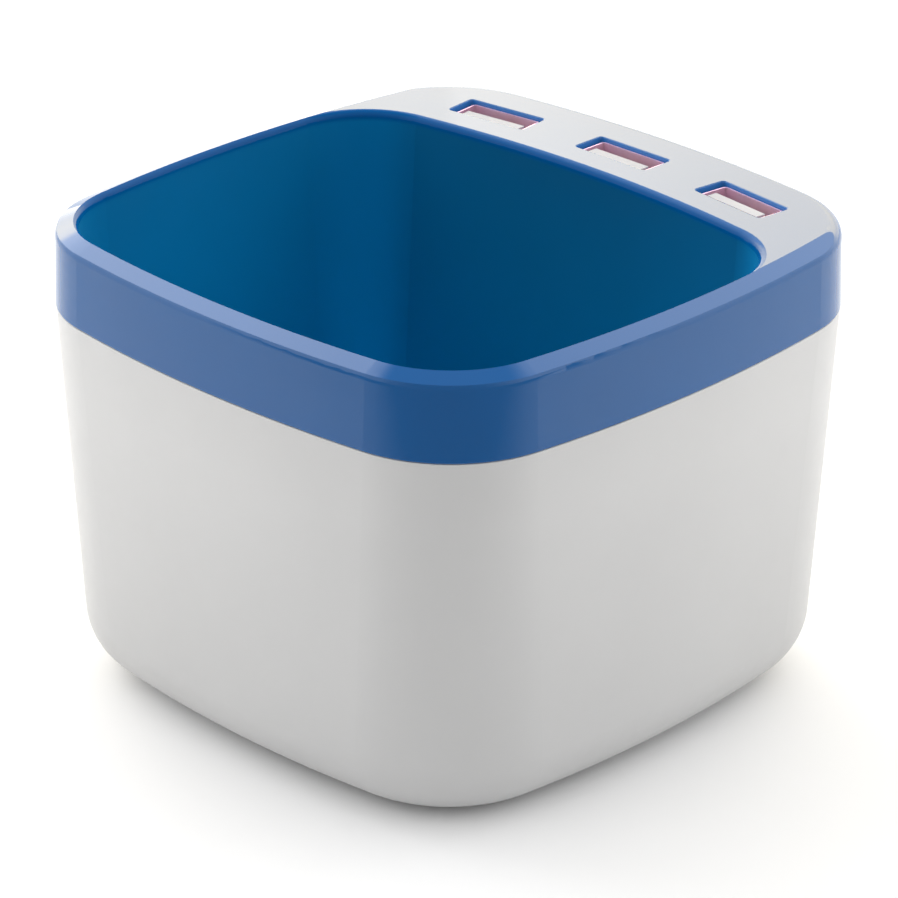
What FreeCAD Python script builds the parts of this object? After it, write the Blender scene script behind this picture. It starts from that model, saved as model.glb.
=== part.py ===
import FreeCAD, Part
import math
import os

V = FreeCAD.Vector
tolerance = 1e-4           # of a place, when edges are picked

# Overall form, in millimetres: a square plan with four bowed sides
width = 100.0
height = 74.4
corner_radius = 20.25
seam_angle = 7.64          # degrees from the middle of a side to its corner arc
base_inset = 2.05          # taper of the white body on each side, down to its base
base_corner_radius = 23.0
base_edge_radius = 10.2

# Rim band and ledge of the blue insert
band_height = 13.0
band_draft = 0.4           # the band is narrower at the rim by this on each side
band_wall = 1.55
band_edge_radius = 0.2
deck = 2.0                 # thickness of the rim top and of the ledge
rim_outer_radius = 2.2
rim_inner_radius = 1.1
rim_land = 0.1             # flat top of the rim between its two roundings
bevel_angle = 24.0         # degrees; slope of the rim's top, down to the outside
bevel_inset = 3.27         # side of the band to the upper end of the bevel
ledge_depth = 20.1         # rear side of the band to the rear wall inside the cup
ledge_corner_radius = 13.9

# Pen cup
cup_floor_height = 14.4    # floor of the cup above the desk
cup_draft = 4.0            # the cup is narrower at its floor by this on each side
cup_wall = 1.55
cup_floor = 2.0
cup_floor_radius = 4.0

# White body
body_step = 0.1            # the body stands back from the band by this
body_wall = 2.4
base_thickness = 2.4
seam_gap = 0.1             # open joint between the band and the body's shoulder
lip_height = 5.0           # tongue of the body that stands inside the band
shoulder_radius = 0.15

# Clearances
fit_gap = 0.15             # between parts that slide into each other
hole_gap = 0.4             # between a screw and its passing hole, across
lead_gap = 0.2             # between a lead and its slot in the board, across

# USB cut-outs in the ledge
port_names = ("left", "middle", "right")
port_pitch = 26.0
port_inset = 11.3          # rear side of the band to the row of sockets
port_end_gap = 0.8         # between a socket's end and its cut-out
port_side_gap = 0.2        # between a socket's side and its cut-out
port_corner = 0.6
port_edge_radius = 0.2
shell_recess = 0.65        # the sockets end this far below the ledge

# Type A sockets standing on the board
shell_length = 13.2
shell_width = 5.7
shell_height = 14.15
sheet = 0.3
shell_corner = 0.6
leg_width = 2.0
leaf_width = 1.9
leaf_length = 5.0
leaf_slit = 0.45
leaf_spacing = 5.6
leaf_drop = 2.6            # top of the spring leaves below the mouth
block_height = 5.0
tongue_end_gap = 0.75      # between the tongue's end and the shell
tongue_thickness = 1.84
tongue_space = 0.66        # gap between the tongue and the near wall of the shell
tongue_recess = 0.05
contact_offsets = (-3.5, -1.0, 1.0, 3.5)
contact_width = 1.0
contact_sheet = 0.3
contact_recess = 1.2       # bare end of the tongue above the contacts
contact_jog = 2.4          # height above the board where the contacts turn to their pins
pin_row = 1.9              # pins stand this far to the cup's side of the socket's middle
lead_end = 0.8             # pins and legs end this far below the board

# Hub board
board_thickness = 1.6
board_gap = 0.9            # between the board and the walls around it
board_end = 2.0            # board beyond the outer sockets
board_corner = 2.5
board_screw_margin = 2.9   # front edge of the board to the row of screws
board_boss = 5.6
board_screw = 2.2
board_screw_length = 8.0

# Parts on the board
chip_length = 9.9
chip_width = 3.9
chip_height = 1.5
chip_span = 6.0
chip_leads = 8
chip_lead_width = 0.42
chip_lead_pitch = 1.27
chip_stand = 0.15
chip_row = 4.3             # to the rear of the row of sockets
crystal_length = 11.0
crystal_width = 4.6
crystal_height = 3.5
crystal_flange = 0.4
crystal_flange_height = 0.5
can_diameter = 6.3
can_height = 5.4
can_foot = 6.6
can_foot_height = 0.9
can_row = 3.8
chip_part = (2.0, 1.25, 0.8)
chip_part_offset = 3.0
capacitor_row = 2.6
resistor_row = 5.0

# Mini B inlet under the board
inlet_width = 7.7
inlet_height = 4.0
inlet_length = 8.2
inlet_chamfer = 1.3
inlet_setback = 0.25       # mouth behind the inner face of the body
inlet_block = 3.4
inlet_tongue_width = 4.4
inlet_tongue_thickness = 1.1
inlet_tongue_recess = 1.0
inlet_tongue_drop = 0.9
inlet_contacts = 5
inlet_contact_pitch = 0.8
inlet_contact_width = 0.4
inlet_contact_sheet = 0.2
inlet_tab = 1.6
inlet_tab_back = 3.0
inlet_hole_width = 12.0
inlet_hole_height = 7.6
inlet_hole_radius = 2.0

# Screws through the base and the bosses they hold
base_screw = 2.9
base_screw_length = 8.0
base_screw_x = 18.0
base_screw_front = 30.0
base_screw_rear = 15.0
base_boss = 7.0
base_pad = 9.6
head_recess = 2.4          # depth of the pocket for a screw head
head_gap = 0.8             # between a head and its pocket, across
seat = 2.0                 # floor of the pocket
pilot_end = 1.0            # pilot hole beyond the screw tip
head_ratio = 1.9           # head diameter over thread diameter
head_rise = 0.68           # head height over thread diameter
cross_width = 0.28         # cross slot over thread diameter
cross_reach = 1.2
cross_depth = 0.35

# Rubber feet
foot_names = ("front_left", "front_right", "rear_left", "rear_right")
foot_diameter = 10.0
foot_thickness = 1.2
foot_proud = 0.6
foot_place = 29.0
foot_edge = 0.3

# Derived places
half = width / 2.0
seam_turn = math.radians(seam_angle)
seam_factor = math.cos(seam_turn) - math.sin(seam_turn)


def bow_radius(half_size, corner):
    return (half_size - corner * seam_factor) / (1.0 - seam_factor)


bow = bow_radius(half, corner_radius)
base_z = foot_proud
seam_z = height - band_height
shoulder_z = seam_z - seam_gap
lip_top_z = shoulder_z + lip_height
deck_z = height - deck
floor_z = cup_floor_height
cup_depth = height - floor_z
rim_width = band_draft + rim_outer_radius + rim_land + rim_inner_radius
bevel_slope = math.tan(math.radians(bevel_angle))
floor_under_z = floor_z - cup_floor
pad_top_z = base_z + head_recess + seat
shell_top_z = height - shell_recess
board_top_z = shell_top_z - shell_height
board_under_z = board_top_z - board_thickness
body_half = half - body_step
body_in = body_step + body_wall
row_centre_y = half - bow
row_radius = bow - port_inset
inner_length = shell_length - 2.0 * sheet
inner_width = shell_width - 2.0 * sheet
inner_corner = shell_corner - sheet
port_length = shell_length + 2.0 * port_end_gap
port_width = shell_width + 2.0 * port_side_gap
tongue_length = inner_length - 2.0 * tongue_end_gap
tongue_near = tongue_space - inner_width / 2.0
tongue_far = tongue_near + tongue_thickness
lead_bottom = -(board_thickness + lead_end)
board_front = ledge_depth - cup_wall - port_inset - board_gap
board_rear = port_inset - body_in - board_gap
board_half_length = port_pitch * (len(port_names) - 1) / 2.0 + shell_length / 2.0 + board_end
board_screw_row = board_front - board_screw_margin
board_screw_offset = port_pitch / 2.0


def between(low, high):
    return Part.makeBox(high[0] - low[0], high[1] - low[1], high[2] - low[2], V(*low))


def cylinder(diameter, low_z, high_z, x, y):
    return Part.makeCylinder(diameter / 2.0, high_z - low_z, V(x, y, low_z))


def rounded_box(length, depth, low_z, high_z, radius):
    box = between((-length / 2.0, -depth / 2.0, low_z), (length / 2.0, depth / 2.0, high_z))
    return box.makeFillet(radius, upright_edges(box, high_z - low_z))


def middle_of(edge):
    return edge.valueAt((edge.FirstParameter + edge.LastParameter) / 2.0)


def level_edges(shape, z):
    found = []
    for edge in shape.Edges:
        heights = [vertex.Z for vertex in edge.Vertexes] + [middle_of(edge).z]
        if max(abs(value - z) for value in heights) < tolerance:
            found.append(edge)
    return found


def edges_on(shape, z, cutter):
    # Level edges that a cut has left on the shape
    return [e for e in level_edges(shape, z)
            if cutter.distToShape(Part.Vertex(middle_of(e)))[0] < tolerance]


def upright_edges(shape, tall):
    return [e for e in shape.Edges if abs(e.Vertexes[0].Z - e.Vertexes[-1].Z) > tall / 2.0]


def toward(start, through, distance):
    step = through.sub(start)
    step.normalize()
    return start.add(step.multiply(distance))


def corner_centre(side_centre, side_reach, end_centre, end_reach, y_sign):
    # Meeting point of two circles, on the right-hand side of the plan
    span = end_centre.sub(side_centre)
    gap = span.Length
    along = (gap * gap + side_reach * side_reach - end_reach * end_reach) / (2.0 * gap)
    rise = math.sqrt(side_reach * side_reach - along * along)
    unit = V(span.x / gap, span.y / gap, 0.0)
    foot = side_centre.add(V(unit.x * along, unit.y * along, 0.0))
    across = V(-unit.y * rise, unit.x * rise, 0.0)
    meet = foot.add(across)
    if meet.y * y_sign < 0.0 or meet.x < 0.0:
        meet = foot.sub(across)
    return meet


def ring(z, half_size, corner, side_in=0.0, rear_in=None, rear_corner=None):
    # Closed outline: sides moved in by side_in, the rear one by rear_in
    if rear_in is None:
        rear_in = side_in
        rear_corner = corner - side_in
    front_corner = corner - side_in
    bend = bow_radius(half_size, corner)
    reach = bend - half_size
    right = V(-reach, 0.0, 0.0)
    rear = V(0.0, -reach, 0.0)
    front = V(0.0, reach, 0.0)
    side_r = bend - side_in
    rear_r = bend - rear_in
    rear_mid = corner_centre(right, side_r - rear_corner, rear, rear_r - rear_corner, 1.0)
    front_mid = corner_centre(right, side_r - front_corner, front, side_r - front_corner, -1.0)
    rear_a = toward(right, rear_mid, side_r)
    rear_b = toward(rear, rear_mid, rear_r)
    front_a = toward(right, front_mid, side_r)
    front_b = toward(front, front_mid, side_r)
    rear_peak = toward(rear_mid, rear_mid.add(rear_a.sub(rear_mid)).add(rear_b.sub(rear_mid)), rear_corner)
    front_peak = toward(front_mid, front_mid.add(front_a.sub(front_mid)).add(front_b.sub(front_mid)),
                        front_corner)

    def lift(point):
        return V(point.x, point.y, z)

    def mirror(point):
        return V(-point.x, point.y, z)

    rear_top = V(0.0, rear_r - reach, z)
    front_top = V(0.0, reach - side_r, z)
    side_top = V(side_r - reach, 0.0, z)
    arcs = [
        (lift(front_a), side_top, lift(rear_a)),
        (lift(rear_a), lift(rear_peak), lift(rear_b)),
        (lift(rear_b), rear_top, mirror(rear_b)),
        (mirror(rear_b), mirror(rear_peak), mirror(rear_a)),
        (mirror(rear_a), mirror(side_top), mirror(front_a)),
        (mirror(front_a), mirror(front_peak), mirror(front_b)),
        (mirror(front_b), front_top, lift(front_b)),
        (lift(front_b), lift(front_peak), lift(front_a)),
    ]
    return Part.Wire([Part.Arc(*points).toShape() for points in arcs])


def loft(low_ring, high_ring):
    return Part.makeLoft([low_ring, high_ring], True, True)


def row_place(shape, offset, z=0.0):
    # Local x runs along the row of sockets, local y to the rear
    turn = offset / row_radius
    moved = shape.copy()
    moved.rotate(V(0, 0, 0), V(0, 0, 1), -math.degrees(turn))
    moved.translate(V(row_radius * math.sin(turn), row_centre_y + row_radius * math.cos(turn), z))
    return moved


def port_offsets():
    middle = (len(port_names) - 1) / 2.0
    return [(number - middle) * port_pitch for number in range(len(port_names))]


def screw(diameter, length):
    # Seat at z = 0, thread upwards, head below
    head_height = diameter * head_rise
    head = Part.makeCylinder(diameter * head_ratio / 2.0, head_height, V(0, 0, -head_height))
    rim = level_edges(head, -head_height)
    head = head.makeFillet(head_height / 3.0, rim)
    tip = diameter / 4.0
    shank = Part.makeCylinder(diameter / 2.0, length - tip)
    point = Part.makeCone(diameter / 2.0, diameter / 4.0, tip, V(0, 0, length - tip))
    whole = head.fuse(shank).fuse(point)
    reach = diameter * cross_reach / 2.0
    slot = diameter * cross_width / 2.0
    depth = diameter * cross_depth
    along = between((-reach, -slot, -head_height), (reach, slot, depth - head_height))
    across = between((-slot, -reach, -head_height), (slot, reach, depth - head_height))
    return whole.cut(along.fuse(across)).removeSplitter()


def board_screw_places():
    return (-board_screw_offset, board_screw_offset)


def base_screw_places():
    places = []
    for side in (-1.0, 1.0):
        places.append((side * base_screw_x, -base_screw_front))
        places.append((side * base_screw_x, base_screw_rear))
    return places


def foot_places():
    return [(x * foot_place, y * foot_place) for y in (-1.0, 1.0) for x in (-1.0, 1.0)]


def inlet_mouth_y():
    # Body's inner face behind the inlet, less the setback
    rise = (board_under_z - inlet_height - base_z) / (shoulder_z - base_z)
    inner_face = half - base_inset + rise * (base_inset - body_step) - body_wall
    return inner_face - inlet_setback


def outer_body():
    base_half = half - base_inset
    body_corner = corner_radius - body_step
    outside = loft(ring(base_z, base_half, base_corner_radius), ring(shoulder_z, body_half, body_corner))
    outside = outside.makeFillet(base_edge_radius, level_edges(outside, base_z))
    outside = outside.makeFillet(shoulder_radius, level_edges(outside, shoulder_z))
    lip_in = band_wall + fit_gap
    lip = loft(ring(shoulder_z - body_wall, half, corner_radius, lip_in),
               ring(lip_top_z, half, corner_radius, lip_in))
    inside_z = base_z + base_thickness
    inside = loft(ring(inside_z, base_half, base_corner_radius, body_wall),
                  ring(shoulder_z, body_half, body_corner, body_wall))
    inside = inside.makeFillet(base_edge_radius - body_wall, level_edges(inside, inside_z))
    mouth = loft(ring(shoulder_z, body_half, body_corner, body_wall),
                 ring(lip_top_z, body_half, body_corner, body_wall))
    body = outside.fuse(lip).cut(inside.fuse(mouth))
    pocket = base_screw * head_ratio + head_gap
    for x, y in base_screw_places():
        body = body.fuse(cylinder(base_pad, base_z + base_thickness / 2.0, pad_top_z, x, y))
        body = body.cut(cylinder(pocket, base_z, base_z + head_recess, x, y))
        body = body.cut(cylinder(base_screw + hole_gap, base_z, pad_top_z, x, y))
    for x, y in foot_places():
        body = body.cut(cylinder(foot_diameter + fit_gap, base_z, foot_thickness, x, y))
    hole = rounded_box(inlet_hole_width, inlet_hole_height, 0.0, half, inlet_hole_radius)
    hole.rotate(V(0, 0, 0), V(1, 0, 0), -90.0)
    hole.translate(V(0, inlet_mouth_y() - body_wall, board_under_z - inlet_height / 2.0))
    return body.cut(hole).removeSplitter()


def cup_ring(z, grow):
    inward = cup_draft * (height - z) / cup_depth - grow
    return ring(z, half, corner_radius, rim_width + inward, ledge_depth + inward,
                ledge_corner_radius - inward)


def mouth_edges(shape):
    # Edges of the rim's top face that lie on the cup's mouth
    probe = Part.Face(cup_ring(height, rim_inner_radius / 2.0))
    return [e for e in level_edges(shape, height) if probe.isInside(middle_of(e), tolerance, True)]


def bevel_ring(z):
    # Its rear corners are as tight as the cup's, so it passes out of the band's rounder ones
    spread = (height - z) / bevel_slope
    return ring(z, half, corner_radius, bevel_inset - spread, -spread, ledge_corner_radius + spread)


def bevel_waste():
    # What the bevel takes off the rim's front and sides
    low = height - deck
    high = height + deck
    block = between((-half, -half, low), (half, half, high))
    return block.cut(loft(bevel_ring(low), bevel_ring(high)))


def pen_insert():
    band = loft(ring(seam_z, half, corner_radius),
                ring(height, half - band_draft, corner_radius - band_draft))
    band = band.makeFillet(rim_outer_radius, level_edges(band, height))
    band = band.makeFillet(band_edge_radius, level_edges(band, seam_z))
    hollow = loft(ring(seam_z, half, corner_radius, band_wall), ring(deck_z, half, corner_radius, band_wall))
    cup = loft(cup_ring(floor_under_z, cup_wall), cup_ring(height - deck / 2.0, cup_wall))
    cup = cup.makeFillet(cup_floor_radius + cup_wall, level_edges(cup, floor_under_z))
    space = loft(cup_ring(floor_z, 0.0), cup_ring(height, 0.0))
    space = space.makeFillet(cup_floor_radius, level_edges(space, floor_z))
    insert = band.cut(hollow).fuse(cup).cut(space)
    insert = insert.makeFillet(rim_inner_radius, mouth_edges(insert))
    insert = insert.cut(bevel_waste())
    for offset in port_offsets():
        cut_out = rounded_box(port_length, port_width, deck_z - deck, height + deck, port_corner)
        cut_out = row_place(cut_out, offset)
        insert = insert.cut(cut_out)
        insert = insert.makeFillet(port_edge_radius, edges_on(insert, height, cut_out))
    pilot_top = board_top_z - board_thickness + board_screw_length + pilot_end
    for offset in board_screw_places():
        post = cylinder(board_boss, board_top_z, height - deck / 2.0, 0.0, -board_screw_row)
        pilot = cylinder(board_screw, board_top_z, pilot_top, 0.0, -board_screw_row)
        insert = insert.fuse(row_place(post, offset)).cut(row_place(pilot, offset))
    pilot_top = base_z + head_recess + base_screw_length + pilot_end
    for x, y in base_screw_places():
        post = cylinder(base_boss, pad_top_z, floor_under_z + cup_floor / 2.0, x, y)
        insert = insert.fuse(post).cut(cylinder(base_screw, pad_top_z, pilot_top, x, y))
    return insert.removeSplitter()


def usb_shell():
    tube = rounded_box(shell_length, shell_width, 0.0, shell_height, shell_corner)
    tube = tube.cut(rounded_box(inner_length, inner_width, 0.0, shell_height, inner_corner))
    leaf_top = shell_height - leaf_drop
    leaf_low = leaf_top - leaf_length
    for side in (-1.0, 1.0):
        leg_x = side * (shell_length - sheet) / 2.0
        leg = between((leg_x - sheet / 2.0, -leg_width / 2.0, lead_bottom),
                      (leg_x + sheet / 2.0, leg_width / 2.0, sheet))
        tube = tube.fuse(leg)
        middle = side * leaf_spacing / 2.0
        for edge in (-1.0, 1.0):
            slit_x = middle + edge * (leaf_width + leaf_slit) / 2.0
            tube = tube.cut(between((slit_x - leaf_slit / 2.0, -shell_width, leaf_low),
                                    (slit_x + leaf_slit / 2.0, shell_width, leaf_top)))
        foot_half = leaf_width / 2.0 + leaf_slit
        tube = tube.cut(between((middle - foot_half, -shell_width, leaf_low - leaf_slit),
                                (middle + foot_half, shell_width, leaf_low)))
    return tube.removeSplitter()


def usb_contacts():
    top = shell_height - tongue_recess - contact_recess
    low = tongue_far - contact_sheet / 2.0
    high = tongue_far + contact_sheet / 2.0
    strips = []
    for offset in contact_offsets:
        left = offset - contact_width / 2.0
        right = offset + contact_width / 2.0
        strip = between((left, low, contact_jog), (right, high, top))
        jog = between((left, -pin_row, contact_jog), (right, high, contact_jog + contact_sheet))
        pin = between((left, -pin_row - contact_sheet, lead_bottom),
                      (right, -pin_row, contact_jog + contact_sheet))
        strips.append(strip.fuse(jog).fuse(pin).removeSplitter())
    return Part.makeCompound(strips)


def usb_insulator():
    block = rounded_box(inner_length, inner_width, 0.0, block_height, inner_corner)
    tongue = between((-tongue_length / 2.0, tongue_near, 0.0),
                     (tongue_length / 2.0, tongue_far, shell_height - tongue_recess))
    return block.fuse(tongue).cut(usb_contacts()).removeSplitter()


def row_arc(radius, x, z):
    return V(x, row_centre_y + math.sqrt(radius * radius - x * x), z)


def hub_board():
    near = row_radius - board_front
    far = row_radius + board_rear
    z = board_under_z
    end = board_half_length
    edges = [
        Part.Arc(row_arc(near, -end, z), row_arc(near, 0.0, z), row_arc(near, end, z)).toShape(),
        Part.makeLine(row_arc(near, end, z), row_arc(far, end, z)),
        Part.Arc(row_arc(far, end, z), row_arc(far, 0.0, z), row_arc(far, -end, z)).toShape(),
        Part.makeLine(row_arc(far, -end, z), row_arc(near, -end, z)),
    ]
    board = Part.Face(Part.Wire(edges)).extrude(V(0, 0, board_thickness))
    board = board.makeFillet(board_corner, upright_edges(board, board_thickness))
    inside = body_in + board_gap
    board = board.common(loft(ring(board_under_z, half, corner_radius, inside),
                              ring(board_top_z, half, corner_radius, inside)))
    low = -board_thickness
    for offset in port_offsets():
        for side in (-1.0, 1.0):
            leg_x = side * (shell_length - sheet) / 2.0
            slot = lead_slot(sheet + lead_gap, leg_width + lead_gap, low, leg_x, 0.0)
            board = board.cut(row_place(slot, offset, board_top_z))
        for place in contact_offsets:
            slot = lead_slot(contact_width + lead_gap, contact_sheet + lead_gap, low, place,
                             -pin_row - contact_sheet / 2.0)
            board = board.cut(row_place(slot, offset, board_top_z))
    for offset in board_screw_places():
        hole = cylinder(board_screw + hole_gap, board_under_z, board_top_z, 0.0, -board_screw_row)
        board = board.cut(row_place(hole, offset))
    for x in inlet_tab_places():
        tab_y = inlet_mouth_y() - inlet_tab_back
        slot = lead_slot(sheet + lead_gap, inlet_tab + lead_gap, low, x, tab_y)
        slot.translate(V(0, 0, board_top_z))
        board = board.cut(slot)
    return board


def lead_slot(across, along, low, x, y):
    slot = between((-across / 2.0, -along / 2.0, low), (across / 2.0, along / 2.0, 0.0))
    slot.translate(V(x, y, 0.0))
    return slot


def inlet_tab_places():
    place = (inlet_width - sheet) / 2.0
    return (-place, place)


def inlet_profile(inward):
    # Outline of the inlet in its own plane, narrower away from the board
    wide = inlet_width / 2.0 - inward
    top = -inward
    low = inward - inlet_height
    cut = inlet_chamfer - inward * (2.0 - math.sqrt(2.0))
    points = [V(-wide, 0, top), V(wide, 0, top), V(wide, 0, low + cut), V(wide - cut, 0, low),
              V(cut - wide, 0, low), V(-wide, 0, low + cut), V(-wide, 0, top)]
    return Part.Face(Part.makePolygon(points))


def inlet_place(shape):
    moved = shape.copy()
    moved.translate(V(0, inlet_mouth_y(), board_under_z))
    return moved


def inlet_shell():
    length = V(0, -inlet_length, 0)
    shell = inlet_profile(0.0).extrude(length).cut(inlet_profile(sheet).extrude(length))
    for x in inlet_tab_places():
        tab = between((x - sheet / 2.0, -inlet_tab_back - inlet_tab / 2.0, -sheet),
                      (x + sheet / 2.0, -inlet_tab_back + inlet_tab / 2.0, board_thickness))
        shell = shell.fuse(tab)
    return inlet_place(shell.removeSplitter())


def inlet_contact_strips():
    strips = []
    middle = (inlet_contacts - 1) / 2.0
    face = -sheet - inlet_tongue_drop - inlet_tongue_thickness
    for number in range(inlet_contacts):
        x = (number - middle) * inlet_contact_pitch
        left = x - inlet_contact_width / 2.0
        right = x + inlet_contact_width / 2.0
        rear = -inlet_length - inlet_contact_sheet
        strip = between((left, rear, face), (right, -2.0 * inlet_tongue_recess, face + inlet_contact_sheet))
        riser = between((left, rear, face), (right, -inlet_length, 0.0))
        strips.append(strip.fuse(riser).removeSplitter())
    return Part.makeCompound(strips)


def inlet_insulator():
    block = inlet_profile(sheet).extrude(V(0, inlet_block, 0))
    block.translate(V(0, -inlet_length, 0))
    top = -sheet - inlet_tongue_drop
    tongue = between((-inlet_tongue_width / 2.0, -inlet_length, top - inlet_tongue_thickness),
                     (inlet_tongue_width / 2.0, -inlet_tongue_recess, top))
    return inlet_place(block.fuse(tongue).cut(inlet_contact_strips()).removeSplitter())


def hub_controller():
    body = between((-chip_length / 2.0, -chip_width / 2.0, -chip_height - chip_stand),
                   (chip_length / 2.0, chip_width / 2.0, -chip_stand))
    middle = (chip_leads - 1) / 2.0
    lead_sheet = chip_stand
    knee = chip_width / 2.0 + (chip_span - chip_width) / 4.0
    level = -chip_stand - chip_height / 2.0
    for number in range(chip_leads):
        x = (number - middle) * chip_lead_pitch
        left = x - chip_lead_width / 2.0
        right = x + chip_lead_width / 2.0
        for side in (-1.0, 1.0):
            inner = sorted((side * chip_width / 4.0, side * knee))
            upright = sorted((side * (knee - lead_sheet), side * knee))
            toe = sorted((side * (knee - lead_sheet), side * chip_span / 2.0))
            body = body.fuse(between((left, inner[0], level), (right, inner[1], level + lead_sheet)))
            body = body.fuse(between((left, upright[0], level), (right, upright[1], 0.0)))
            body = body.fuse(between((left, toe[0], -lead_sheet), (right, toe[1], 0.0)))
    body.translate(V(0, chip_row, 0))
    return row_place(body.removeSplitter(), -board_screw_offset, board_under_z)


def stadium(length, depth, low_z, high_z):
    ends = length / 2.0 - depth / 2.0
    middle = between((-ends, -depth / 2.0, low_z), (ends, depth / 2.0, high_z))
    return middle.fuse([cylinder(depth, low_z, high_z, side * ends, 0.0) for side in (-1.0, 1.0)])


def crystal():
    flange = stadium(crystal_length, crystal_width, -crystal_flange_height, 0.0)
    can = stadium(crystal_length - 2.0 * crystal_flange, crystal_width - 2.0 * crystal_flange,
                  -crystal_height, 0.0)
    whole = flange.fuse(can).removeSplitter()
    whole.translate(V(0, chip_row, 0))
    return row_place(whole, board_screw_offset, board_under_z)


def bulk_capacitor(offset):
    foot = rounded_box(can_foot, can_foot, 0.0, can_foot_height, can_foot_height)
    can = cylinder(can_diameter, 0.0, can_height, 0.0, 0.0)
    whole = foot.fuse(can).removeSplitter()
    whole.translate(V(0, can_row, 0))
    return row_place(whole, offset, board_top_z)


def small_parts(row):
    length, depth, tall = chip_part
    pieces = []
    for offset in (port_offsets()[0], port_offsets()[-1]):
        for side in (-1.0, 1.0):
            x = side * chip_part_offset
            piece = between((x - length / 2.0, row - depth / 2.0, -tall),
                            (x + length / 2.0, row + depth / 2.0, 0.0))
            pieces.append(row_place(piece, offset, board_under_z))
    return Part.makeCompound(pieces)


def board_screws():
    single = screw(board_screw, board_screw_length)
    single.translate(V(0, -board_screw_row, 0))
    return Part.makeCompound([row_place(single, offset, board_under_z) for offset in board_screw_places()])


def base_screws():
    pieces = []
    for x, y in base_screw_places():
        piece = screw(base_screw, base_screw_length)
        piece.translate(V(x, y, base_z + head_recess))
        pieces.append(piece)
    return Part.makeCompound(pieces)


def foot(x, y):
    pad = cylinder(foot_diameter, 0.0, foot_thickness, x, y)
    return pad.makeFillet(foot_edge, level_edges(pad, 0.0))


def build():
    nodes = {
        "outer_body": outer_body(),
        "pen_insert": pen_insert(),
        "hub_board": hub_board(),
        "hub_controller": hub_controller(),
        "crystal": crystal(),
        "chip_capacitors": small_parts(capacitor_row),
        "chip_resistors": small_parts(resistor_row),
        "bulk_capacitor_left": bulk_capacitor(-board_screw_offset),
        "bulk_capacitor_right": bulk_capacitor(board_screw_offset),
        "inlet_shell": inlet_shell(),
        "inlet_insulator": inlet_insulator(),
        "inlet_contacts": inlet_place(inlet_contact_strips()),
        "board_screws": board_screws(),
        "base_screws": base_screws(),
    }
    for name, offset in zip(port_names, port_offsets()):
        nodes["usb_shell_" + name] = row_place(usb_shell(), offset, board_top_z)
        nodes["usb_insulator_" + name] = row_place(usb_insulator(), offset, board_top_z)
        nodes["usb_contacts_" + name] = row_place(usb_contacts(), offset, board_top_z)
    for name, place in zip(foot_names, foot_places()):
        nodes["rubber_foot_" + name] = foot(*place)
    return nodes


os.makedirs("parts", exist_ok=True)
for node, shape in build().items():
    shape.exportStep("parts/" + node + ".step")
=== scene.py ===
import math

import bpy
from mathutils import Matrix, Vector


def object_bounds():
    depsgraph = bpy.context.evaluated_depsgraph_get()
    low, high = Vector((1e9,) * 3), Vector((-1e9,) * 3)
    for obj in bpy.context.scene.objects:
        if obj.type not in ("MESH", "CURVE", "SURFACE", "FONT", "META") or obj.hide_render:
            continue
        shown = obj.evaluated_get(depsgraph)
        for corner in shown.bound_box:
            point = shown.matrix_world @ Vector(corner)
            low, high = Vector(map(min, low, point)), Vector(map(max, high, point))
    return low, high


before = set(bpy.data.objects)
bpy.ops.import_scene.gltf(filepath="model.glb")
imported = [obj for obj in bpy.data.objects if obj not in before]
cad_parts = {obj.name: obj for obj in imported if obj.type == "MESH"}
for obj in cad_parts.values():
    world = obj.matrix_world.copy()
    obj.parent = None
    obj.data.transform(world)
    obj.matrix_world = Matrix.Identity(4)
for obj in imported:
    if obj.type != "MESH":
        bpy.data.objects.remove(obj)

CAD_LOW, CAD_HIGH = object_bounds()
PORTS = ("left", "middle", "right")
FEET = ("front_left", "front_right", "rear_left", "rear_right")
ALONG_X = (1.0, 0.0, 0.0)
ALONG_Y = (0.0, 1.0, 0.0)
ALONG_Z = (0.0, 0.0, 1.0)

# Camera, in metres and radians
IMAGE_SIDE = 898             # pixels, both ways
SENSOR = 36.0                # millimetres
FOCAL_PIXELS = 4238.7
CAMERA_DISTANCE = 0.6545
CAMERA_AZIMUTH = math.radians(44.56)
CAMERA_ELEVATION = math.radians(25.0)
CAMERA_ROLL = math.radians(-0.26)
CAMERA_TARGET = Vector((0.00055, -0.00028, 0.03625))
CAMERA_NEAR = 0.01
TO_CAMERA = (math.sin(CAMERA_AZIMUTH), -math.cos(CAMERA_AZIMUTH), 0.0)
TO_RIGHT = (math.cos(CAMERA_AZIMUTH), math.sin(CAMERA_AZIMUTH), 0.0)

# Places on the part where its finish or its painted light and shade change, in metres
CUP_CENTRE_Y = -0.0075
CUP_REAR_Y = 0.0315          # just behind the cup's rear wall
# Next: the height at and below which the cup's painted light is strongest
CUP_DEEP = 0.02              # height at which the cup has its deep tone
MOUTH_EDGE = 0.0011          # radius of the edge of the cup's mouth
MOUTH_FADE = (-0.0006, 0.0002)   # from the foot of that edge
ROW_END = 0.034              # half the length of the row of cut-outs
ROW_REAR_Y = 0.0445          # just behind the cut-outs
MASK_EDGE = 0.001            # width in which a mask runs out
# Next: the heights between which the body's painted shade fades out
BODY_PAINTED_SHADE_FADE = (0.004, 0.05)    # heights between which the body's tone changes

# Floor, in metres
FLOOR_SIDE = 6.0
FLOOR_FADE = (0.078, 0.19)   # distances ahead between which it darkens

# Strengths of the lights in the tent
AMBIENT = 0.42
SIDES = 1.4
ZENITH = 0.2
FRONT = 0.45
LEFT = 2.0
RIGHT = 0.65
HIGH_BACK = 0.5
LOW_BACK = 2.35
LOW_BACK_FOOT = 0.45         # share of its strength that is left near the floor
LOW_BACK_TINT = (1.0, 0.74, 0.14, 1.0)
SLANT = 0.5                  # gained at the left of the low back light and lost at its right

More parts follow.
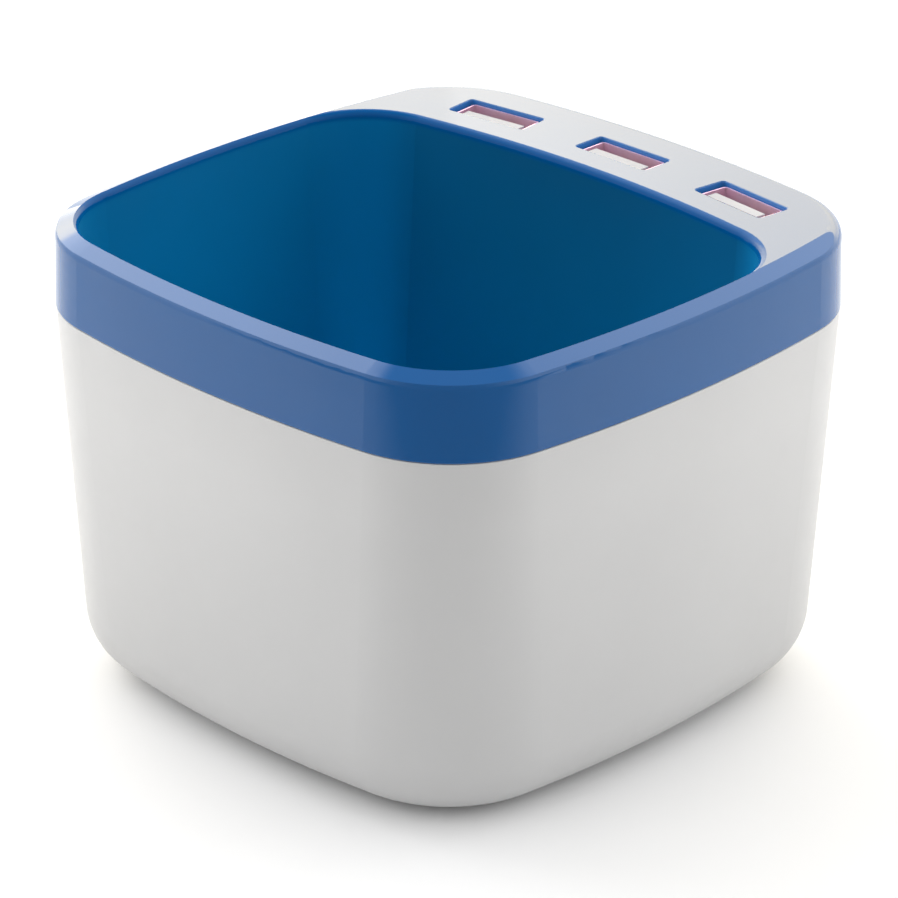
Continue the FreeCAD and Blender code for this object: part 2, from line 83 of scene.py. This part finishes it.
# Where each light begins and where it is full, in degrees: turned from the camera's side, positive to the
# right, or risen above the horizon
SIDES_TURN = (20.0, 90.0)
SIDES_TOP = (62.0, 48.0)
ZENITH_FOOT = (45.0, 75.0)
FRONT_TURN = (70.0, 30.0)
FRONT_FOOT = (20.0, 40.0)
FRONT_TOP = (75.0, 60.0)
LEFT_NEAR = (-100.0, -118.0)
LEFT_FAR = (-178.0, -145.0)
RIGHT_NEAR = (80.0, 110.0)
BOX_FOOT = (8.0, 27.0)
BOX_TOP = (62.0, 54.0)
HIGH_BACK_TURN = (140.0, 165.0)
HIGH_BACK_FOOT = (22.5, 27.0)
HIGH_BACK_TOP = (62.0, 50.0)
LOW_BACK_TURN = (125.0, 152.0)
LOW_BACK_RISE = (6.0, 19.0)
LOW_BACK_TOP = (27.0, 22.5)
SLANT_SPAN = (-0.01, 0.08)   # no angles, but steps to the right on the unit sphere

# First input, second input and output of a mix node
MIX_SOCKETS = {"FLOAT": (2, 3, 0), "RGBA": (6, 7, 2)}


class Graph:
    # A node tree with short ways to add its nodes

    def __init__(self, tree):
        self.nodes = tree.nodes
        self.links = tree.links

    def feed(self, socket, value):
        if isinstance(value, bpy.types.NodeSocket):
            self.links.new(value, socket)
        else:
            socket.default_value = value

    def coordinate(self, name):
        return self.nodes.new("ShaderNodeTexCoord").outputs[name]

    def noise(self, scale, detail=4.0, stretch=(1.0, 1.0, 1.0)):
        mapping = self.nodes.new("ShaderNodeMapping")
        mapping.inputs["Scale"].default_value = stretch
        self.feed(mapping.inputs["Vector"], self.coordinate("Object"))
        texture = self.nodes.new("ShaderNodeTexNoise")
        texture.inputs["Scale"].default_value = scale
        texture.inputs["Detail"].default_value = detail
        self.feed(texture.inputs["Vector"], mapping.outputs["Vector"])
        return texture.outputs["Fac"]

    def arithmetic(self, operation, *values):
        step = self.nodes.new("ShaderNodeMath")
        step.operation = operation
        for socket, value in zip(step.inputs, values):
            self.feed(socket, value)
        return step.outputs["Value"]

    def chain(self, operation, total, *others):
        for other in others:
            total = self.arithmetic(operation, total, other)
        return total

    def product(self, *values):
        return self.chain("MULTIPLY", *values)

    def vector_step(self, operation, first, second):
        step = self.nodes.new("ShaderNodeVectorMath")
        step.operation = operation
        self.feed(step.inputs[0], first)
        self.feed(step.inputs[1], second)
        return step.outputs

    def dot(self, first, second):
        return self.vector_step("DOT_PRODUCT", first, second)["Value"]

    def spread(self, source, low, high, start=0.3, end=0.7, way="LINEAR"):
        span = self.nodes.new("ShaderNodeMapRange")
        span.interpolation_type = way
        span.inputs["From Min"].default_value = start
        span.inputs["From Max"].default_value = end
        span.inputs["To Min"].default_value = low
        span.inputs["To Max"].default_value = high
        self.feed(span.inputs["Value"], source)
        return span.outputs["Result"]

    def fade(self, source, start, end):
        return self.spread(source, 0.0, 1.0, start, end, "SMOOTHSTEP")

    def two_tones(self, source, dark, light, start=0.3, end=0.7):
        ramp = self.nodes.new("ShaderNodeValToRGB")
        ramp.color_ramp.elements[0].position = start
        ramp.color_ramp.elements[0].color = (*dark, 1.0)
        ramp.color_ramp.elements[1].position = end
        ramp.color_ramp.elements[1].color = (*light, 1.0)
        self.feed(ramp.inputs["Fac"], source)
        return ramp.outputs["Color"]

    def blend(self, factor, first, second, kind="RGBA", way="MIX"):
        mix = self.nodes.new("ShaderNodeMix")
        mix.data_type = kind
        mix.blend_type = way
        input_first, input_second, output = MIX_SOCKETS[kind]
        self.feed(mix.inputs[0], factor)
        self.feed(mix.inputs[input_first], first)
        self.feed(mix.inputs[input_second], second)
        return mix.outputs[output]

    def bump(self, source, depth, strength, under=None):
        node = self.nodes.new("ShaderNodeBump")
        node.inputs["Distance"].default_value = depth
        node.inputs["Strength"].default_value = strength
        self.feed(node.inputs["Height"], source)
        if under is not None:
            self.feed(node.inputs["Normal"], under)
        return node.outputs["Normal"]


# Materials

def start_material(name):
    material = bpy.data.materials.new(name)
    material.use_nodes = True
    graph = Graph(material.node_tree)
    return material, graph, graph.nodes["Principled BSDF"]


def cup_masks(graph):
    # The walls and floor of the cup, and the walls with the rounded edge of its mouth
    place = graph.coordinate("Object")
    centred = graph.vector_step("ADD", place, (0.0, -CUP_CENTRE_Y, 0.0))["Vector"]
    level = graph.vector_step("MULTIPLY", centred, (1.0, 1.0, 0.0))["Vector"]
    outward = graph.dot(level, graph.coordinate("Normal"))
    not_outward = graph.spread(outward, 1.0, 0.0, 0.0, 0.004)
    inward = graph.spread(outward, 1.0, 0.0, -0.005, -0.0015)
    edge_foot = CAD_HIGH[2] - MOUTH_EDGE
    below = graph.spread(graph.dot(place, ALONG_Z), 1.0, 0.0, *[edge_foot + step for step in MOUTH_FADE])
    before = graph.spread(graph.dot(place, ALONG_Y), 1.0, 0.0, CUP_REAR_Y, CUP_REAR_Y + MASK_EDGE)
    return graph.product(not_outward, below, before), graph.product(inward, before)


def cut_out_mask(graph):
    # The upright walls of the cut-outs in the ledge, which get a lighter blue as painted light
    place = graph.coordinate("Object")
    along = graph.arithmetic("ABSOLUTE", graph.dot(place, ALONG_X))
    behind = graph.dot(place, ALONG_Y)
    level = graph.arithmetic("ABSOLUTE", graph.dot(graph.coordinate("Normal"), ALONG_Z))
    return graph.product(
        graph.spread(along, 1.0, 0.0, ROW_END, ROW_END + MASK_EDGE),
        graph.spread(behind, 0.0, 1.0, CUP_REAR_Y, CUP_REAR_Y + MASK_EDGE),
        graph.spread(behind, 1.0, 0.0, ROW_REAR_Y, ROW_REAR_Y + MASK_EDGE),
        graph.spread(level, 1.0, 0.0, 0.3, 0.8),
    )


# Random tone in two colours blended by height: lighter deep in the cup, as painted light
def wall_tone_with_painted_depth_light(graph, cloud, up, deep, shallow):
    tones = []
    for colour in (deep, shallow):
        dark = tuple(0.97 * share for share in colour)
        light = tuple(1.03 * share for share in colour)
        tones.append(graph.two_tones(cloud, dark, light))
    return graph.blend(up, *tones)


def cup_colour_with_painted_light(graph, cloud):
    # Painted light: the cup's matt blue is painted lighter than the outside, most low down and in the rear
    # corners; the wall beside the ledge gets painted shade
    up = graph.spread(graph.dot(graph.coordinate("Object"), ALONG_Z), 0.0, 1.0, CUP_DEEP, CAD_HIGH[2])
    plain = wall_tone_with_painted_depth_light(graph, cloud, up, (0.00045, 0.258, 0.515), (0.00045, 0.145, 0.325))
    painted_ledge_shade = wall_tone_with_painted_depth_light(graph, cloud, up, (0.00045, 0.206, 0.412), (0.00045, 0.089, 0.201))
    painted_corner_light = wall_tone_with_painted_depth_light(graph, cloud, up, (0.00045, 0.296, 0.588), (0.00045, 0.166, 0.372))
    normal = graph.coordinate("Normal")
    frontward = graph.dot(normal, (0.0, -1.0, 0.0))
    sideward = graph.arithmetic("ABSOLUTE", graph.dot(normal, ALONG_X))
    by_ledge = graph.fade(frontward, 0.55, 1.0)
    # Painted light in the rear corners, painted shade on the wall beside the ledge
    in_corner = graph.spread(graph.product(frontward, sideward), 0.0, 1.0, 0.05, 0.5)
    return graph.blend(in_corner, graph.blend(by_ledge, plain, painted_ledge_shade), painted_corner_light)


def glossy_blue():
    # Polished outside, matt in the cup
    material, graph, shader = start_material("glossy_blue")
    inside, mouth = cup_masks(graph)
    cloud = graph.noise(45.0)
    polished = graph.two_tones(cloud, (0.0004, 0.083, 0.275), (0.0008, 0.089, 0.292))
    # A lighter blue on the cut-out walls: painted light where they stand in shade
    cut_wall_painted_light = graph.two_tones(cloud, (0.035, 0.19, 0.52), (0.045, 0.21, 0.56))
    outside = graph.blend(cut_out_mask(graph), polished, cut_wall_painted_light)
    graph.feed(shader.inputs["Base Color"], graph.blend(inside, outside, cup_colour_with_painted_light(graph, cloud)))
    dull = graph.arithmetic("MAXIMUM", inside, mouth)
    graph.feed(shader.inputs["Specular IOR Level"], graph.spread(dull, 0.5, 0.1, 0.0, 1.0))
    smear = graph.noise(220.0)
    rough = graph.blend(inside, graph.spread(smear, 0.04, 0.07), graph.spread(smear, 0.42, 0.5), "FLOAT")
    graph.feed(shader.inputs["Roughness"], rough)
    wave = graph.bump(graph.noise(70.0, 2.0), 0.00003, 0.25)
    peel = graph.bump(graph.noise(1500.0, 2.0), 0.000002, 0.3, wave)
    graph.feed(shader.inputs["Normal"], peel)
    shader.inputs["IOR"].default_value = 1.5
    return material


def satin_white():
    # A little darker low down: painted shade on the white
    material, graph, shader = start_material("satin_white")
    cloud = graph.noise(35.0)
    painted_shade_low = graph.two_tones(cloud, (0.500, 0.500, 0.501), (0.520, 0.520, 0.521))
    upper = graph.two_tones(cloud, (0.610, 0.610, 0.612), (0.630, 0.630, 0.632))
    up = graph.spread(graph.dot(graph.coordinate("Object"), ALONG_Z), 0.0, 1.0, *BODY_PAINTED_SHADE_FADE)
    graph.feed(shader.inputs["Base Color"], graph.blend(up, painted_shade_low, upper))
    graph.feed(shader.inputs["Roughness"], graph.spread(graph.noise(400.0), 0.42, 0.52))
    graph.feed(shader.inputs["Normal"], graph.bump(graph.noise(4500.0, 3.0), 0.00002, 0.25))
    shader.inputs["IOR"].default_value = 1.5
    shader.inputs["Specular IOR Level"].default_value = 0.25
    return material


def plated_metal(name, dark, light, rough, metallic=1.0):
    material, graph, shader = start_material(name)
    graph.feed(shader.inputs["Base Color"], graph.two_tones(graph.noise(260.0), dark, light))
    drawn = graph.noise(900.0, 3.0, (1.0, 1.0, 0.3))
    graph.feed(shader.inputs["Roughness"], graph.spread(drawn, rough, rough + 0.1))
    graph.feed(shader.inputs["Normal"], graph.bump(drawn, 0.000003, 0.15))
    shader.inputs["Metallic"].default_value = metallic
    return material


def moulded(name, dark, light, rough, grain_scale=2500.0, specular=0.5):
    material, graph, shader = start_material(name)
    graph.feed(shader.inputs["Base Color"], graph.two_tones(graph.noise(180.0), dark, light))
    graph.feed(shader.inputs["Roughness"], graph.spread(graph.noise(700.0), rough, rough + 0.12))
    graph.feed(shader.inputs["Normal"], graph.bump(graph.noise(grain_scale), 0.00002, 0.4))
    shader.inputs["Specular IOR Level"].default_value = specular
    return material


def solder_mask():
    material, graph, shader = start_material("solder_mask")
    tracks = graph.noise(500.0, 0.0, (1.0, 0.25, 1.0))
    green = graph.two_tones(tracks, (0.008, 0.075, 0.03), (0.02, 0.14, 0.055), 0.48, 0.52)
    graph.feed(shader.inputs["Base Color"], green)
    graph.feed(shader.inputs["Roughness"], graph.spread(graph.noise(900.0), 0.25, 0.4))
    graph.feed(shader.inputs["Normal"], graph.bump(tracks, 0.00003, 0.4))
    return material


def pale_floor():
    # Darker towards the camera, which keeps the floor's light off the foot of the body
    material, graph, shader = start_material("pale_floor")
    ahead = graph.spread(graph.dot(graph.coordinate("Object"), TO_CAMERA), 0.0, 1.0, *FLOOR_FADE)
    shade = graph.two_tones(ahead, (0.9, 0.9, 0.9), (0.25, 0.25, 0.25), 0.0, 1.0)
    cloud = graph.two_tones(graph.noise(6.0), (0.98, 0.98, 0.98), (1.0, 1.0, 1.0))
    graph.feed(shader.inputs["Base Color"], graph.blend(1.0, shade, cloud, way="MULTIPLY"))
    shader.inputs["Roughness"].default_value = 0.9
    shader.inputs["Specular IOR Level"].default_value = 0.1
    return material


def finishes():
    plated = plated_metal("plated_sheet", (0.82, 0.52, 0.68), (0.90, 0.60, 0.76), 0.3, 0.6)
    nickel = plated_metal("nickel_sheet", (0.62, 0.60, 0.57), (0.74, 0.72, 0.69), 0.25)
    gold = plated_metal("gold_flash", (0.72, 0.47, 0.16), (0.86, 0.62, 0.28), 0.2)
    zinc = plated_metal("zinc_steel", (0.5, 0.5, 0.52), (0.66, 0.66, 0.68), 0.28)
    can = plated_metal("drawn_can", (0.62, 0.62, 0.62), (0.78, 0.78, 0.78), 0.22)
    black = moulded("black_package", (0.012, 0.012, 0.013), (0.024, 0.024, 0.026), 0.45)
    ivory = moulded("white_insulator", (0.43, 0.43, 0.45), (0.48, 0.48, 0.50), 0.45, specular=0.12)
    tan = moulded("fired_ceramic", (0.36, 0.25, 0.14), (0.46, 0.33, 0.2), 0.5)
    rubber = moulded("black_rubber", (0.016, 0.016, 0.017), (0.034, 0.034, 0.035), 0.72, 1800.0)
    chosen = {
        "outer_body": satin_white(),
        "pen_insert": glossy_blue(),
        "hub_board": solder_mask(),
        "hub_controller": black,
        "crystal": can,
        "chip_capacitors": tan,
        "chip_resistors": black,
        "bulk_capacitor_left": can,
        "bulk_capacitor_right": can,
        "inlet_shell": nickel,
        "inlet_insulator": black,
        "inlet_contacts": gold,
        "board_screws": zinc,
        "base_screws": zinc,
    }
    for port in PORTS:
        chosen["usb_shell_" + port] = plated
        chosen["usb_insulator_" + port] = ivory
        chosen["usb_contacts_" + port] = gold
    for place in FEET:
        chosen["rubber_foot_" + place] = rubber
    return chosen


def dress(materials):
    for node, material in materials.items():
        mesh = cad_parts[node].data
        mesh.materials.clear()
        mesh.materials.append(material)


# Stage

def add_floor():
    half = FLOOR_SIDE / 2.0
    mesh = bpy.data.meshes.new("floor")
    corners = [(-half, -half, 0.0), (half, -half, 0.0), (half, half, 0.0), (-half, half, 0.0)]
    mesh.from_pydata(corners, [], [(0, 1, 2, 3)])
    floor = bpy.data.objects.new("floor", mesh)
    mesh.materials.append(pale_floor())
    bpy.context.scene.collection.objects.link(floor)


def tent_light(graph):
    # Strengths of the white light and of the tinted light low down behind
    look = graph.coordinate("Generated")
    rightward = graph.dot(look, TO_RIGHT)
    turn = graph.arithmetic("DEGREES", graph.arithmetic("ARCTAN2", rightward, graph.dot(look, TO_CAMERA)))
    rise = graph.arithmetic("DEGREES", graph.arithmetic("ARCSINE", graph.dot(look, ALONG_Z)))
    aside = graph.arithmetic("ABSOLUTE", turn)
    box = graph.product(graph.fade(rise, *BOX_FOOT), graph.fade(rise, *BOX_TOP))
    behind = graph.fade(aside, *HIGH_BACK_TURN)
    low = graph.fade(rise, *LOW_BACK_TOP)
    sides = graph.product(SIDES, graph.fade(aside, *SIDES_TURN), graph.fade(rise, *SIDES_TOP))
    zenith = graph.product(ZENITH, graph.fade(rise, *ZENITH_FOOT))
    front = graph.product(
        FRONT, graph.fade(aside, *FRONT_TURN), graph.fade(rise, *FRONT_FOOT), graph.fade(rise, *FRONT_TOP))
    left = graph.product(LEFT, graph.fade(turn, *LEFT_NEAR), graph.fade(turn, *LEFT_FAR), box)
    right = graph.product(RIGHT, graph.fade(turn, *RIGHT_NEAR), box)
    high_back = graph.product(
        HIGH_BACK, behind, graph.fade(rise, *HIGH_BACK_FOOT), graph.fade(rise, *HIGH_BACK_TOP))
    slant = graph.product(graph.spread(rightward, SLANT, -SLANT, *SLANT_SPAN), behind, low)
    white = graph.chain("ADD", AMBIENT, sides, zenith, front, left, right, high_back, slant)
    foot = graph.spread(rise, LOW_BACK_FOOT, 1.0, *LOW_BACK_RISE, "SMOOTHSTEP")
    return white, graph.product(LOW_BACK, graph.fade(aside, *LOW_BACK_TURN), low, foot)


def add_sky():
    # A soft tent: dim towards the camera, bright at both sides, brightest low down behind
    world = bpy.data.worlds.new("studio")
    world.use_nodes = True
    graph = Graph(world.node_tree)
    white, tinted = tent_light(graph)
    backdrop = graph.nodes["Background"]
    backdrop.inputs["Color"].default_value = (1.0, 1.0, 1.0, 1.0)
    graph.feed(backdrop.inputs["Strength"], white)
    glow = graph.nodes.new("ShaderNodeBackground")
    glow.inputs["Color"].default_value = LOW_BACK_TINT
    graph.feed(glow.inputs["Strength"], tinted)
    both = graph.nodes.new("ShaderNodeAddShader")
    graph.feed(both.inputs[0], backdrop.outputs["Background"])
    graph.feed(both.inputs[1], glow.outputs["Background"])
    graph.feed(graph.nodes["World Output"].inputs["Surface"], both.outputs["Shader"])
    bpy.context.scene.world = world


def add_camera():
    back = Vector(TO_CAMERA) * math.cos(CAMERA_ELEVATION) + Vector(ALONG_Z) * math.sin(CAMERA_ELEVATION)
    right = Vector(ALONG_Z).cross(back).normalized()
    up = back.cross(right)
    roll = Matrix.Rotation(-CAMERA_ROLL, 3, back)
    turn = Matrix((roll @ right, roll @ up, back)).transposed()
    data = bpy.data.cameras.new("camera")
    data.sensor_width = SENSOR
    data.sensor_fit = "HORIZONTAL"
    data.lens = FOCAL_PIXELS * SENSOR / IMAGE_SIDE
    data.clip_start = CAMERA_NEAR
    camera = bpy.data.objects.new("camera", data)
    camera.matrix_world = Matrix.Translation(CAMERA_TARGET + back * CAMERA_DISTANCE) @ turn.to_4x4()
    bpy.context.scene.collection.objects.link(camera)
    bpy.context.scene.camera = camera


dress(finishes())
add_floor()
add_sky()
add_camera()
bpy.context.scene.view_settings.view_transform = "Standard"
